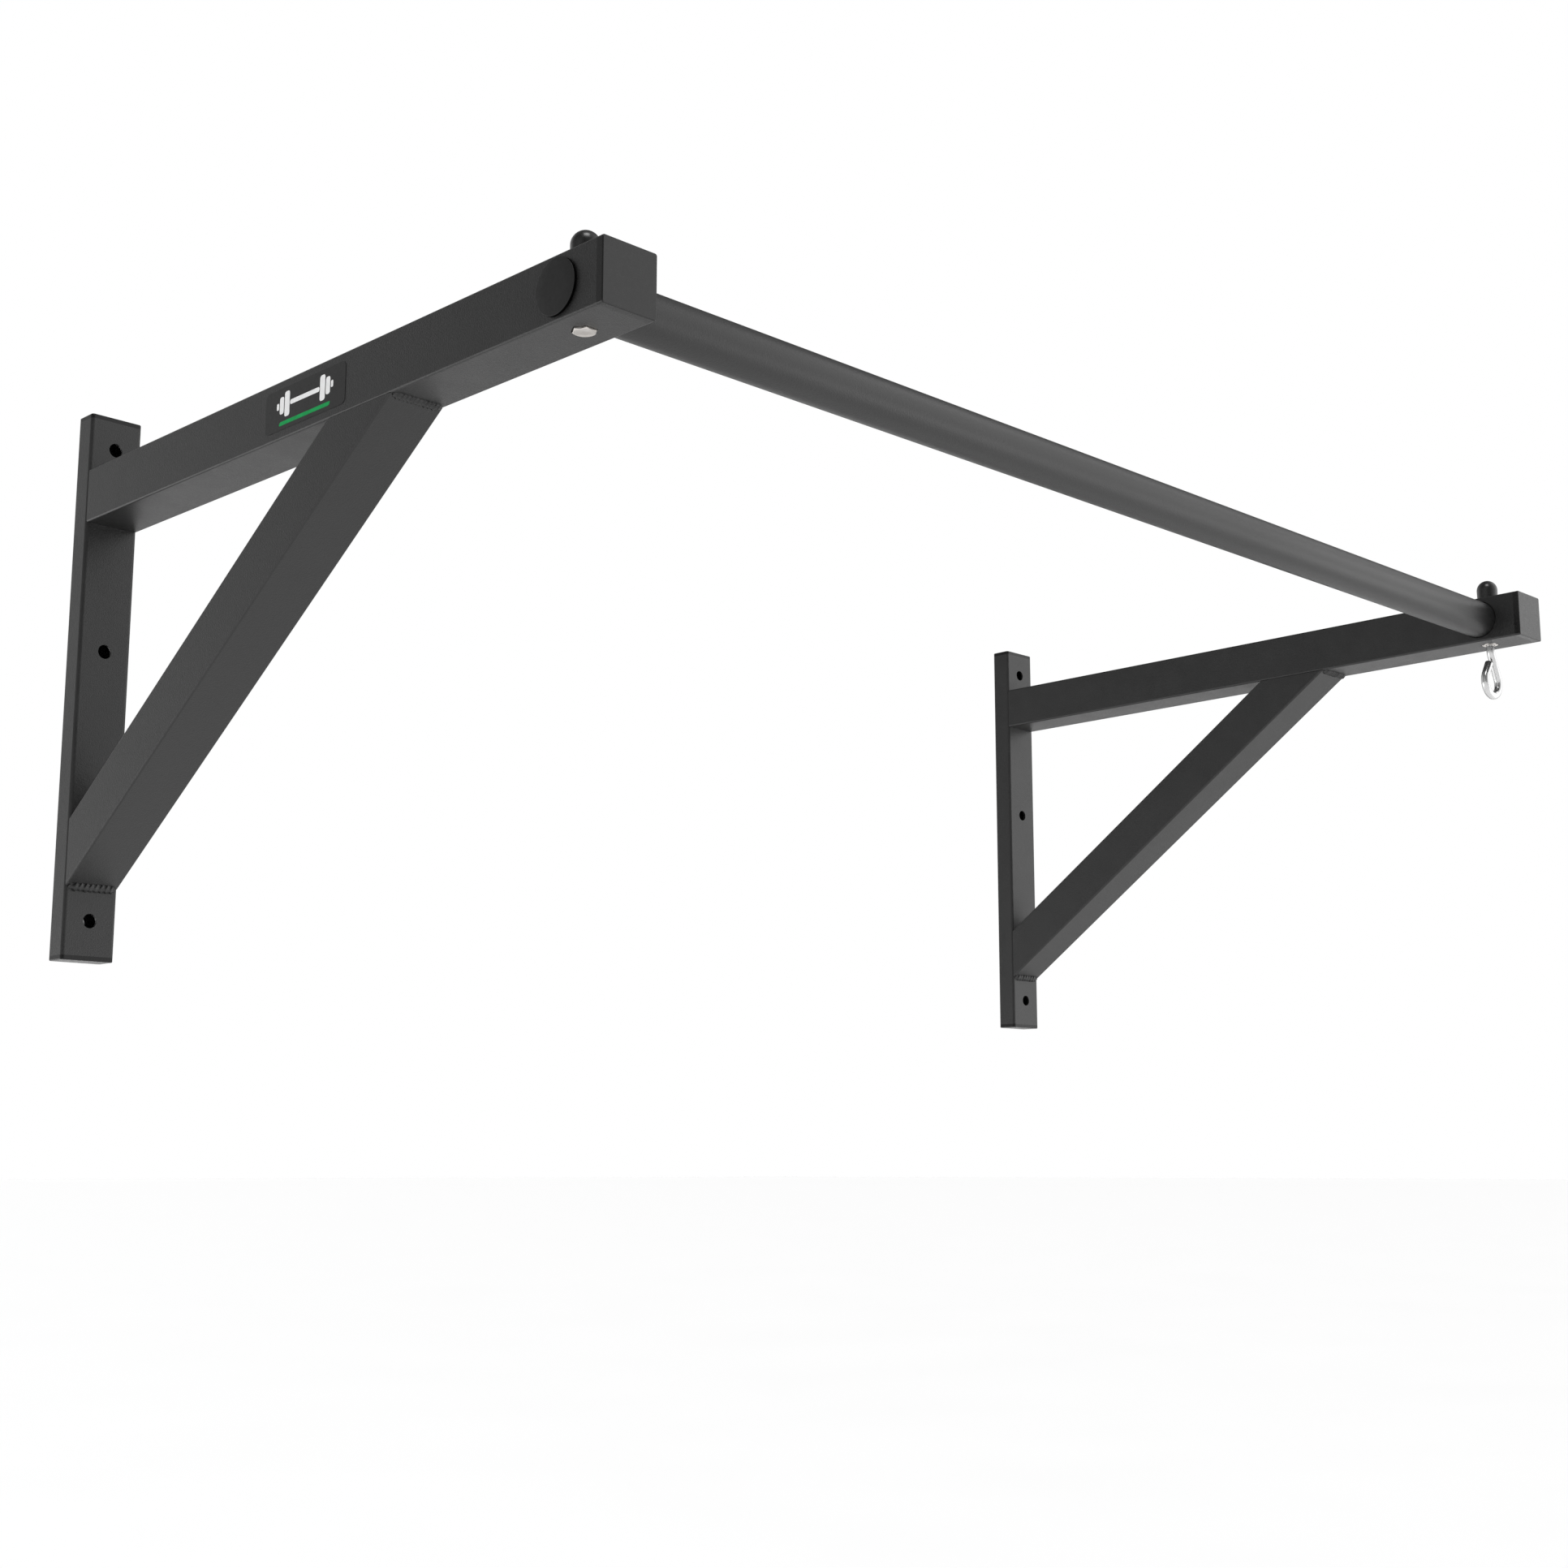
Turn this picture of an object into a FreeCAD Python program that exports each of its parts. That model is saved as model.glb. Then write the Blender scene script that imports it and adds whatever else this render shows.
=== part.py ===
"""Wall-mounted pull up bar: two welded steel brackets, a pinned round bar and its hardware.

Millimetres. X runs along the bar, +Y points into the wall and +Z is up. The origin lies on the
wall, in the middle of the rectangle that the four outer wall holes make.
"""

import FreeCAD
import Part
import math
import os

V = FreeCAD.Vector
X_AXIS = V(1, 0, 0)
Y_AXIS = V(0, 1, 0)
Z_AXIS = V(0, 0, 1)

# Whole object
WIDTH = 1100.0  # over the outer faces of the two arms
REACH = 600.0  # from the wall to the front of the arms

# Square tube of the arms and braces, and flat tube on the wall
TUBE = 40.0
TUBE_WALL = 2.0
TUBE_CORNER = 1.6
CORNER_INNER = 0.8
WALL_TUBE_DEPTH = 20.0
WALL_TUBE_CORNER = 2.4

# Wall holes, from the top one down, and what stands past the outermost two
HOLE_PITCH_UPPER = 153.0
HOLE_PITCH_LOWER = 197.0
WALL_HOLE = 10.4
ABOVE_TOP_HOLE = 24.5
BELOW_BOTTOM_HOLE = 28.5
ARM_BELOW_TOP_HOLE = 39.0

# Brace, measured along its outer face from the corner of arm and wall tube
BRACE_OUT = 381.5
BRACE_DOWN = 267.1

# Plastic caps
ARM_CAP_FLANGE = 5.2
WALL_CAP_FLANGE = 3.4
CAP_EDGE = 0.8
CAP_INSERT_WALL = 1.8
CAP_SHELL_GAP = 0.8
CAP_RIB_GAP = 0.12
CAP_RIB = 1.2
CAP_RIB_COUNT = 3
ARM_CAP_INSERT = 16.0
WALL_CAP_INSERT = 11.0

# Bar
BAR = 32.0
BAR_WALL = 2.0
BAR_SETBACK = 38.9  # bar axis behind the front of the arms
BAR_HOLE_GAP = 0.55
PLUG_FLANGE = 34.0
PLUG_FLANGE_THICKNESS = 1.9
PLUG_EDGE = 0.7
PLUG_INSERT = 11.0

# M8 hardware
BOLT = 8.0
BOLT_HOLE = 8.5
BOLT_TIP_CHAMFER = 0.8
HEX_FLATS = 13.0
HEX_FACE_INSET = 0.3  # the round end face of a head or nut inside its flats
HEX_CHAMFER = math.radians(30)
HEX_HEAD = 5.3
HEX_POCKET_FLATS = 14.0
THIN_NUT = 4.0
TOP_NUT = 6.8
THREAD_GAP = 0.05
BAR_TO_HEAD = 0.05  # the bolt head bears on the underside of the bar
BAR_TO_THIN_NUT = 0.35
BOLT_ABOVE_NUT = 2.2

# Domed cap over each top nut
DOME = 18.0
DOME_BASE = 17.5
DOME_HEIGHT = 19.6
DOME_HEX_FLATS = 13.3
DOME_HEX_DEPTH = 7.2
DOME_BORE = 11.0
DOME_BORE_DEPTH = 15.0

# Eye bolt, in the upright plane along the bar, measured down from the arm's mid height
EYE_WIRE = 7.0
EYE_RING_RADIUS = 12.2
EYE_RING_OFFSET = -1.0
EYE_RING_DROP = 54.4
EYE_BEND_DROP = 27.0
EYE_BEND_RADIUS = 14.0
EYE_TIP_OFFSET = -4.2
EYE_TIP_DROP = 37.0
EYE_THREAD_DROP = 20.0

# Weld beads: leg on each face, length and number of ripples, and how deep the ripples are
BRACE_FOOT_BEAD = (4.0, 36.0, 9)
BRACE_HEAD_BEAD = (4.0, 36.0, 12)
ARM_TOP_BEAD = (3.0, 14.0, 5)
WELD_RIPPLE_DEPTH = 0.6

# Name plate on the outer face of the left arm
PLATE_LENGTH = 92.0
PLATE_HEIGHT = 28.2
PLATE_THICKNESS = 0.2
PLATE_CORNER = 4.0
PLATE_FROM_FRONT = 293.5

# How far a cutting tool or a joined solid runs past the face it meets, and how near is touching
OVERRUN = 1.0
TOUCHING = 1e-6

# Derived places
BRACKET_X = (WIDTH - TUBE) / 2
TOP_HOLE_Z = (HOLE_PITCH_UPPER + HOLE_PITCH_LOWER) / 2
HOLE_HEIGHTS = (TOP_HOLE_Z, TOP_HOLE_Z - HOLE_PITCH_UPPER, -TOP_HOLE_Z)
ARM_Z = TOP_HOLE_Z - ARM_BELOW_TOP_HOLE
ARM_TOP = ARM_Z + TUBE / 2
ARM_UNDER = ARM_Z - TUBE / 2
BAR_Y = BAR_SETBACK - REACH
BAR_UNDER = ARM_Z - BAR / 2
WALL_TUBE_TOP = TOP_HOLE_Z + ABOVE_TOP_HOLE - WALL_CAP_FLANGE
WALL_TUBE_BOTTOM = -TOP_HOLE_Z - BELOW_BOTTOM_HOLE + WALL_CAP_FLANGE
BRACE_ANGLE = math.atan2(BRACE_DOWN, BRACE_OUT)
BRACE_FOOT = V(0, -WALL_TUBE_DEPTH, ARM_UNDER - BRACE_DOWN)
BRACE_HEAD = V(0, -WALL_TUBE_DEPTH - BRACE_OUT, ARM_UNDER)


def rounded_bar(width, depth, height, corner):
    """Upright bar of rounded rectangular section, centred on Z, standing on z = 0."""
    bar = Part.makeBox(width, depth, height, V(-width / 2, -depth / 2, 0))
    upright = [e for e in bar.Edges if abs(e.tangentAt(e.FirstParameter).z) > 0.9]
    return bar.makeFillet(corner, upright)


def hollow_tube(width, depth, length, corner):
    """Upright rectangular tube with rounded corners inside and out."""
    bore = rounded_bar(width - 2 * TUBE_WALL, depth - 2 * TUBE_WALL, length, CORNER_INNER)
    return rounded_bar(width, depth, length, corner).cut(bore)


def hexagon(flats, height, place):
    """Hexagonal bar along Z with two corners on the X axis."""
    radius = flats / math.sqrt(3)
    corners = [
        V(radius * math.cos(k * math.pi / 3), radius * math.sin(k * math.pi / 3), 0)
        for k in range(6)
    ]
    prism = Part.Face(Part.makePolygon(corners + corners[:1])).extrude(V(0, 0, height))
    prism.translate(place)
    return prism


def chamfered_hexagon(flats, height, place, both_ends):
    """Hexagonal bar whose corners are turned off at its lower end, and at its top if asked."""
    face = flats / 2 - HEX_FACE_INSET
    wide = face + height / math.tan(HEX_CHAMFER)
    bar = hexagon(flats, height, V(0, 0, 0)).common(Part.makeCone(face, wide, height))
    if both_ends:
        bar = bar.common(Part.makeCone(wide, face, height))
    bar.translate(place)
    return bar


def cylinder(diameter, height, place, axis=Z_AXIS):
    return Part.makeCylinder(diameter / 2, height, place, axis)


def one_solid(shape):
    """The shape's only solid, with faces that continue one another merged."""
    solids = shape.removeSplitter().Solids
    if len(solids) != 1:
        raise ValueError("expected one solid, got %d" % len(solids))
    return solids[0]


def wall_tube(x):
    """Flat upright tube, drilled right through at three heights."""
    height = WALL_TUBE_TOP - WALL_TUBE_BOTTOM
    tube = hollow_tube(TUBE, WALL_TUBE_DEPTH, height, WALL_TUBE_CORNER)
    tube.translate(V(x, -WALL_TUBE_DEPTH / 2, WALL_TUBE_BOTTOM))
    for z in HOLE_HEIGHTS:
        drill = cylinder(WALL_HOLE, WALL_TUBE_DEPTH + 2 * OVERRUN, V(x, OVERRUN, z), -Y_AXIS)
        tube = tube.cut(drill)
    return one_solid(tube)


def arm_tube(x):
    """Square tube from the wall tube to its end cap, bored for the bar and for the bolt."""
    length = REACH - ARM_CAP_FLANGE - WALL_TUBE_DEPTH
    tube = hollow_tube(TUBE, TUBE, length, TUBE_CORNER)
    tube.rotate(V(0, 0, 0), X_AXIS, 90)
    tube.translate(V(x, -WALL_TUBE_DEPTH, ARM_Z))
    outer_face = V(x - TUBE / 2 - OVERRUN, BAR_Y, ARM_Z)
    bar_bore = cylinder(BAR + 2 * BAR_HOLE_GAP, TUBE + 2 * OVERRUN, outer_face, X_AXIS)
    bolt_bore = cylinder(BOLT_HOLE, TUBE / 2 + OVERRUN, V(x, BAR_Y, ARM_Z))
    below = V(x, BAR_Y, ARM_UNDER - OVERRUN)
    pocket = hexagon(HEX_POCKET_FLATS, TUBE_WALL + 2 * OVERRUN, below)
    return one_solid(tube.cut(bar_bore).cut(bolt_bore).cut(pocket))


def brace_tube(x):
    """Square tube at the brace's slope, mitred against the wall tube and the arm."""
    run = math.hypot(BRACE_OUT, BRACE_DOWN)
    spare = 2 * TUBE
    length = run + 2 * spare
    tube = hollow_tube(TUBE, TUBE, length, TUBE_CORNER)
    tube.translate(V(0, TUBE / 2, -spare))
    tube.rotate(V(0, 0, 0), X_AXIS, 90 - math.degrees(BRACE_ANGLE))
    tube.translate(V(x, BRACE_FOOT.y, BRACE_FOOT.z))
    low = V(x - TUBE / 2 - OVERRUN, BRACE_FOOT.y - length, ARM_UNDER - length)
    corner = Part.makeBox(TUBE + 2 * OVERRUN, length, length, low)
    return one_solid(tube.common(corner))


def ribbed_insert(width, depth, length):
    """Hollow plug that goes down into a tube from z = 0, with ribs that grip its walls."""
    shell = rounded_bar(width - 2 * CAP_SHELL_GAP, depth - 2 * CAP_SHELL_GAP, length, CORNER_INNER)
    hollow = rounded_bar(
        width - 2 * (CAP_SHELL_GAP + CAP_INSERT_WALL),
        depth - 2 * (CAP_SHELL_GAP + CAP_INSERT_WALL),
        length,
        CORNER_INNER / 2,
    )
    plug = shell.cut(hollow)
    for k in range(CAP_RIB_COUNT):
        rib = rounded_bar(width - 2 * CAP_RIB_GAP, depth - 2 * CAP_RIB_GAP, CAP_RIB, CORNER_INNER)
        rib.translate(V(0, 0, (k + 0.5) * length / CAP_RIB_COUNT - CAP_RIB / 2))
        plug = plug.fuse(rib.cut(hollow))
    plug.translate(V(0, 0, -length))
    return plug


def tube_cap(depth, corner, flange, insert):
    """Plastic plug standing on z = 0: flange as wide as the tube, with a rounded rim, and insert."""
    plate = rounded_bar(TUBE, depth, flange, corner)
    rim = [e for e in plate.Edges if e.BoundBox.ZMin > flange - TOUCHING]
    plate = plate.makeFillet(CAP_EDGE, rim)
    plug = ribbed_insert(TUBE - 2 * TUBE_WALL, depth - 2 * TUBE_WALL, insert)
    return one_solid(plate.fuse(plug))


def arm_end_cap(x):
    cap = tube_cap(TUBE, TUBE_CORNER, ARM_CAP_FLANGE, ARM_CAP_INSERT)
    cap.rotate(V(0, 0, 0), X_AXIS, 90)
    cap.translate(V(x, ARM_CAP_FLANGE - REACH, ARM_Z))
    return cap


def wall_top_cap(x):
    cap = tube_cap(WALL_TUBE_DEPTH, WALL_TUBE_CORNER, WALL_CAP_FLANGE, WALL_CAP_INSERT)
    cap.translate(V(x, -WALL_TUBE_DEPTH / 2, WALL_TUBE_TOP))
    return cap


def wall_bottom_cap(x):
    cap = tube_cap(WALL_TUBE_DEPTH, WALL_TUBE_CORNER, WALL_CAP_FLANGE, WALL_CAP_INSERT)
    cap.rotate(V(0, 0, 0), X_AXIS, 180)
    cap.translate(V(x, -WALL_TUBE_DEPTH / 2, WALL_TUBE_BOTTOM))
    return cap


def weld_bead(x, root, first_leg, second_leg, bead):
    """Rippled bead along X in the corner at root, filling the angle between the two legs.

    A row of scallops is turned about the root, from the first leg round to the second.
    """
    leg, length, ripples = bead
    pitch = length / ripples
    valley = leg - WELD_RIPPLE_DEPTH

    def point(along, out):
        return V(x - length / 2 + along, root.y, root.z) + first_leg * out

    edges = [Part.LineSegment(point(0, 0), point(0, valley)).toShape()]
    for k in range(ripples):
        low = point(k * pitch, valley)
        top = point((k + 0.5) * pitch, leg)
        end = point((k + 1) * pitch, valley)
        edges.append(Part.Arc(low, top, end).toShape())
    edges.append(Part.LineSegment(end, point(length, 0)).toShape())
    edges.append(Part.LineSegment(point(length, 0), point(0, 0)).toShape())
    angle = math.degrees(first_leg.getAngle(second_leg))
    axis = first_leg.cross(second_leg)
    return one_solid(Part.Face(Part.Wire(edges)).revolve(point(0, 0), axis, angle))


def weld_brace_foot(x):
    along_brace = V(0, -math.cos(BRACE_ANGLE), math.sin(BRACE_ANGLE))
    return weld_bead(x, BRACE_FOOT, V(0, 0, -1), along_brace, BRACE_FOOT_BEAD)


def weld_brace_head(x):
    down_brace = V(0, math.cos(BRACE_ANGLE), -math.sin(BRACE_ANGLE))
    return weld_bead(x, BRACE_HEAD, V(0, -1, 0), down_brace, BRACE_HEAD_BEAD)


def weld_arm_top(x):
    root = V(0, -WALL_TUBE_DEPTH, ARM_TOP)
    return weld_bead(x, root, V(0, 0, 1), V(0, -1, 0), ARM_TOP_BEAD)


def pull_up_bar():
    """Round tube from outer face to outer face, cross-drilled upright at both arms."""
    bar = cylinder(BAR, WIDTH, V(-WIDTH / 2, BAR_Y, ARM_Z), X_AXIS)
    bar = bar.cut(cylinder(BAR - 2 * BAR_WALL, WIDTH, V(-WIDTH / 2, BAR_Y, ARM_Z), X_AXIS))
    for x in (-BRACKET_X, BRACKET_X):
        bar = bar.cut(cylinder(BOLT_HOLE, BAR + 2 * OVERRUN, V(x, BAR_Y, BAR_UNDER - OVERRUN)))
    return one_solid(bar)


def bar_plug(side):
    """Round plug in an open end of the bar, its flange against the arm's outer face."""
    flange = cylinder(PLUG_FLANGE, PLUG_FLANGE_THICKNESS, V(0, 0, 0))
    rim = [e for e in flange.Edges if e.BoundBox.ZMin > PLUG_FLANGE_THICKNESS - TOUCHING]
    plug = flange.makeFillet(PLUG_EDGE, rim)
    bore = BAR - 2 * BAR_WALL
    plug = plug.fuse(cylinder(bore - 2 * CAP_SHELL_GAP, PLUG_INSERT, V(0, 0, -PLUG_INSERT)))
    for k in range(CAP_RIB_COUNT):
        z = -(k + 0.5) * PLUG_INSERT / CAP_RIB_COUNT - CAP_RIB / 2
        plug = plug.fuse(cylinder(bore - 2 * CAP_RIB_GAP, CAP_RIB, V(0, 0, z)))
    hollow = bore - 2 * (CAP_SHELL_GAP + CAP_INSERT_WALL)
    plug = plug.cut(cylinder(hollow, PLUG_INSERT, V(0, 0, -PLUG_INSERT)))
    plug.rotate(V(0, 0, 0), Y_AXIS, 90 * side)
    plug.translate(V(side * WIDTH / 2, BAR_Y, ARM_Z))
    return one_solid(plug)


def threaded_shank(x, low, high):
    """Plain round shank at the thread's outer diameter, with a chamfered upper end."""
    shank = cylinder(BOLT, high - low, V(x, BAR_Y, low))
    tip = [e for e in shank.Edges if e.BoundBox.ZMin > high - TOUCHING]
    return shank.makeChamfer(BOLT_TIP_CHAMFER, tip)


def top_nut(x):
    nut = chamfered_hexagon(HEX_FLATS, TOP_NUT, V(x, BAR_Y, ARM_TOP), True)
    return one_solid(nut.cut(cylinder(BOLT + 2 * THREAD_GAP, TOP_NUT, V(x, BAR_Y, ARM_TOP))))


def hex_bolt(x):
    """Bolt whose head sits in the hexagonal cut-out under the arm, up against the bar."""
    head_top = BAR_UNDER - BAR_TO_HEAD
    head = chamfered_hexagon(HEX_FLATS, HEX_HEAD, V(x, BAR_Y, head_top - HEX_HEAD), False)
    shank = threaded_shank(x, head_top - OVERRUN, ARM_TOP + TOP_NUT + BOLT_ABOVE_NUT)
    return one_solid(head.fuse(shank))


def lower_nut(x):
    """Thin nut in the hexagonal cut-out under the arm, on the eye bolt."""
    low = BAR_UNDER - BAR_TO_THIN_NUT - THIN_NUT
    nut = chamfered_hexagon(HEX_FLATS, THIN_NUT, V(x, BAR_Y, low), True)
    return one_solid(nut.cut(cylinder(BOLT + 2 * THREAD_GAP, THIN_NUT, V(x, BAR_Y, low))))


def nut_cap(x):
    """Domed cap that pulls straight up off its nut, hexagonal inside at the foot."""
    radius = DOME / 2
    shoulder = DOME_HEIGHT - radius
    dome = Part.makeCone(DOME_BASE / 2, radius, shoulder)
    dome = dome.fuse(Part.makeSphere(radius, V(0, 0, shoulder), Z_AXIS, 0, 90, 360))
    hollow = hexagon(DOME_HEX_FLATS, DOME_HEX_DEPTH, V(0, 0, 0))
    hollow = hollow.fuse(cylinder(DOME_BORE, DOME_BORE_DEPTH, V(0, 0, 0)))
    cap = dome.cut(hollow)
    cap.translate(V(x, BAR_Y, ARM_TOP))
    return one_solid(cap)


def eye_path():
    """Centre line of the bent wire as (start, middle, end) arcs and (start, end) lines, in X and Z.

    Down the shank, round a bend, along a leg that touches the ring, most of the way round the
    ring, and up a second leg to the cut tip.
    """
    ring = V(EYE_RING_OFFSET, 0, -EYE_RING_DROP)
    corner = V(0, 0, -EYE_BEND_DROP)
    tip = V(EYE_TIP_OFFSET, 0, -EYE_TIP_DROP)

    def bearing(p):
        return math.atan2(p.x - ring.x, p.z - ring.z)

    def opening(p):
        return math.acos(EYE_RING_RADIUS / p.distanceToPoint(ring))

    def on_ring(angle):
        return ring + V(math.sin(angle), 0, math.cos(angle)) * EYE_RING_RADIUS

    first = bearing(corner) + opening(corner)
    last = 2 * math.pi + bearing(tip) - opening(tip)
    touch = on_ring(first)
    leg = (touch - corner).normalize()
    turn = math.acos(-leg.z)
    trim = EYE_BEND_RADIUS * math.tan(turn / 2)
    bend_start = corner + V(0, 0, trim)
    bend_end = corner + leg * trim
    bend_centre = bend_start + V(EYE_BEND_RADIUS, 0, 0)
    half = V(-math.cos(turn / 2), 0, -math.sin(turn / 2))
    bend_middle = bend_centre + half * EYE_BEND_RADIUS
    return [
        (V(0, 0, -EYE_THREAD_DROP), bend_start),
        (bend_start, bend_middle, bend_end),
        (bend_end, touch),
        (touch, on_ring((first + last) / 2), on_ring(last)),
        (on_ring(last), tip),
    ]


def eye_bolt(x):
    """Threaded shank that runs on down into a bent wire eye."""
    edges = []
    for points in eye_path():
        curve = Part.LineSegment(*points) if len(points) == 2 else Part.Arc(*points)
        edges.append(curve.toShape())
    path = Part.Wire(edges)
    start = eye_path()[0][0]
    section = Part.Wire(Part.makeCircle(EYE_WIRE / 2, start, -Z_AXIS))
    wire = path.makePipeShell([section], True, True)
    wire.translate(V(x, BAR_Y, ARM_Z))
    shank_low = ARM_Z - EYE_THREAD_DROP
    shank = threaded_shank(x, shank_low, ARM_TOP + TOP_NUT + BOLT_ABOVE_NUT)
    return one_solid(shank.fuse(wire))


def name_plate(x):
    """Thin rounded plate stuck on the outer face of the left arm."""
    plate = rounded_bar(PLATE_LENGTH, PLATE_HEIGHT, PLATE_THICKNESS, PLATE_CORNER)
    plate.rotate(V(0, 0, 0), Z_AXIS, 90)
    plate.rotate(V(0, 0, 0), Y_AXIS, -90)
    plate.translate(V(x, PLATE_FROM_FRONT - REACH, ARM_Z))
    return plate


def bracket(side_name, side):
    """The nodes that both brackets have, by name."""
    x = side * BRACKET_X
    return {
        side_name + "_wall_tube": wall_tube(x),
        side_name + "_arm_tube": arm_tube(x),
        side_name + "_brace_tube": brace_tube(x),
        side_name + "_arm_end_cap": arm_end_cap(x),
        side_name + "_wall_top_cap": wall_top_cap(x),
        side_name + "_wall_bottom_cap": wall_bottom_cap(x),
        side_name + "_weld_brace_foot": weld_brace_foot(x),
        side_name + "_weld_brace_head": weld_brace_head(x),
        side_name + "_weld_arm_top": weld_arm_top(x),
        side_name + "_bar_plug": bar_plug(side),
        side_name + "_top_nut": top_nut(x),
        side_name + "_nut_cap": nut_cap(x),
    }


def all_nodes():
    nodes = bracket("left", -1)
    nodes.update(bracket("right", 1))
    nodes["pull_up_bar"] = pull_up_bar()
    nodes["left_hex_bolt"] = hex_bolt(-BRACKET_X)
    nodes["right_eye_bolt"] = eye_bolt(BRACKET_X)
    nodes["right_lower_nut"] = lower_nut(BRACKET_X)
    nodes["name_plate"] = name_plate(-WIDTH / 2)
    return nodes


os.makedirs("parts", exist_ok=True)
for node_name, node_shape in all_nodes().items():
    if not node_shape.isValid():
        raise ValueError(node_name + " is not a valid solid")
    node_shape.exportStep("parts/" + node_name + ".step")
    print(node_name, round(node_shape.Volume), "mm3")
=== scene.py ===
"""Looks of the wall-mounted pull up bar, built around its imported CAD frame.

Metres, in the frame of the part: X along the bar, +Y into the wall, +Z up. The painted tubes, the
end caps, the nuts and their domed caps are the CAD nodes with better materials. The weld beads,
the two bolts, the plugs in the bar and the mark on the name plate are modelled here.
"""

import math

import bpy
import bmesh
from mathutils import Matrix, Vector, noise


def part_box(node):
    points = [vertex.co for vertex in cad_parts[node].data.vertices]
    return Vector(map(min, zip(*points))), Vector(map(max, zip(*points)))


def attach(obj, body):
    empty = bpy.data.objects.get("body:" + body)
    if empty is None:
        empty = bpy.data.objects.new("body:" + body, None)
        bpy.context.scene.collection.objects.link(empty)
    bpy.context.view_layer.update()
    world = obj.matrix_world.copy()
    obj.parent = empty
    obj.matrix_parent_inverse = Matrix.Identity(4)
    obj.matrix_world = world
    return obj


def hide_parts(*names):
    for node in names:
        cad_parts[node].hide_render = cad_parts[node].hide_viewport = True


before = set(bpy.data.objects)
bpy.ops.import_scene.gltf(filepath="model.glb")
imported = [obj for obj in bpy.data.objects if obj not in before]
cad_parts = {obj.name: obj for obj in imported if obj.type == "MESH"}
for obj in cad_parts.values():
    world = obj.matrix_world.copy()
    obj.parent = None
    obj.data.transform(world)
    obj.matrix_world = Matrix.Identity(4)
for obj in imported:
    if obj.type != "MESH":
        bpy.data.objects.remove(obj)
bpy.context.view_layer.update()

MM = 0.001
MERGE = 0.0005 * MM
SIDES = ("left", "right")
FRAME_BODY = "wall_frame"
EYE_BODY = "eye_bolt_body"
X_AXIS = Vector((1, 0, 0))
Y_AXIS = Vector((0, 1, 0))
Z_AXIS = Vector((0, 0, 1))

# Camera: below and to the left of the object, looking across it and a little up
CAMERA_PLACE = Vector((-1.2733, -1.4634, -0.3484))
CAMERA_TURN = math.radians(-45)
CAMERA_RISE = math.radians(10)
CAMERA_LENS = 50.0
CAMERA_SENSOR = 36.0

# Room. The undersides of the arms mirror a stretch of floor that sheds less light
BAR_ABOVE_FLOOR = 2.1
FLOOR_SIZE = 600.0
FLOOR_TONE = 0.92
DIM_FLOOR_TONES = (0.40, 0.42)
DIM_FLOOR_CENTRE = (3.2, 3.2, -2.0)
DIM_FLOOR_FADE = (2.0, 3.0)

# Light from the surroundings: turn from +Y towards +X and rise, in degrees, and strength
WORLD_BASE = 0.01
WORLD_LOBE_SHARPNESS = 5.0
WORLD_LOBES = (
    (0, 8, 1.10),
    (90, 8, 0.24),
    (135, 8, 1.14),
    (180, 8, 0.36),
    (270, 8, 0.60),
    (135, 40, 0.65),
    (0, 90, 0.22),
)

# Soft lights: name, place, point aimed at, size, watts, and whether the floor gets any of it
SOFT_LIGHTS = (
    ("right_high_softbox", (2.55, -1.23, 2.46), (0.0, -0.35, 0.1), (1.2, 1.2), 4.0, False),
    ("overhead_softbox", (-0.93, -1.35, 2.75), (0.0, -0.35, 0.1), (1.2, 1.2), 32.0, False),
    ("right_softbox", (3.2, -1.7, 0.6), (0.1, -0.3, 0.0), (2.0, 2.0), 7.0, True),
    ("right_low_panel", (3.6, -3.6, -1.1), (0.0, -0.3, 0.0), (4.0, 1.6), 27.0, True),
    ("left_low_panel", (-3.0, 3.6, -1.2), (0.0, -0.3, 0.0), (4.0, 1.4), 29.0, True),
)
FLOOR_SUN_STRENGTH = 2.12
FLOOR_SUN_ANGLE = math.radians(60)

# Colour sockets of a Mix node, by number: the ones for other types have the same names
MIX_FIRST = 6
MIX_SECOND = 7
MIX_RESULT = 2

# Stretches of the bar that hands rub: each centre as a share of its length, and where it fades
GRIP_SHARE = 0.26
GRIP_FADE = (0.06, 0.17)

# Fineness of the meshes: points round each ring, and steps along each pitch, arc or straight
BOLT_SIDES = 40
WIRE_SIDES = 28
HEAD_SIDES = 72
PLUG_SIDES = 72
THREAD_STEPS = 8
EYE_RING_STEPS = 60
EYE_BEND_STEPS = 8
EYE_LEG_STEPS = 4
PLUG_EDGE_STEPS = 4
OUTLINE_STEPS = 5

# M8 thread and hexagon head
THREAD_CREST = 4.0 * MM
THREAD_ROOT = 3.3 * MM
THREAD_PITCH = 1.25 * MM
THREAD_ROOT_FLAT = 0.16
THREAD_FLANKS = 0.72
THREAD_TIP = 3.2 * MM
HEX_FLATS = 13.0 * MM
HEX_HEAD = 5.3 * MM
HEX_FACE_INSET = 0.3 * MM
HEX_CHAMFER = math.radians(30)
HEX_DISH = 0.12 * MM
HEX_DISH_RINGS = (0.30, 0.80)
HEX_DISH_RIM = 0.86

# Eye bolt wire, measured down from the bar's axis, in the upright plane along the bar
WIRE = 3.5 * MM
RING_RADIUS = 12.2 * MM
RING_CENTRE = Vector((-1.0 * MM, 0, -54.4 * MM))
BEND_CORNER = Vector((0, 0, -27.0 * MM))
BEND_RADIUS = 14.0 * MM
WIRE_TIP = Vector((-4.2 * MM, 0, -37.0 * MM))
WIRE_BURR = 0.4 * MM
WIRE_NIP = 0.35 * MM
WIRE_CUT_REACH = 0.2 * MM
THREAD_LOW = -20.0 * MM

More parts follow.
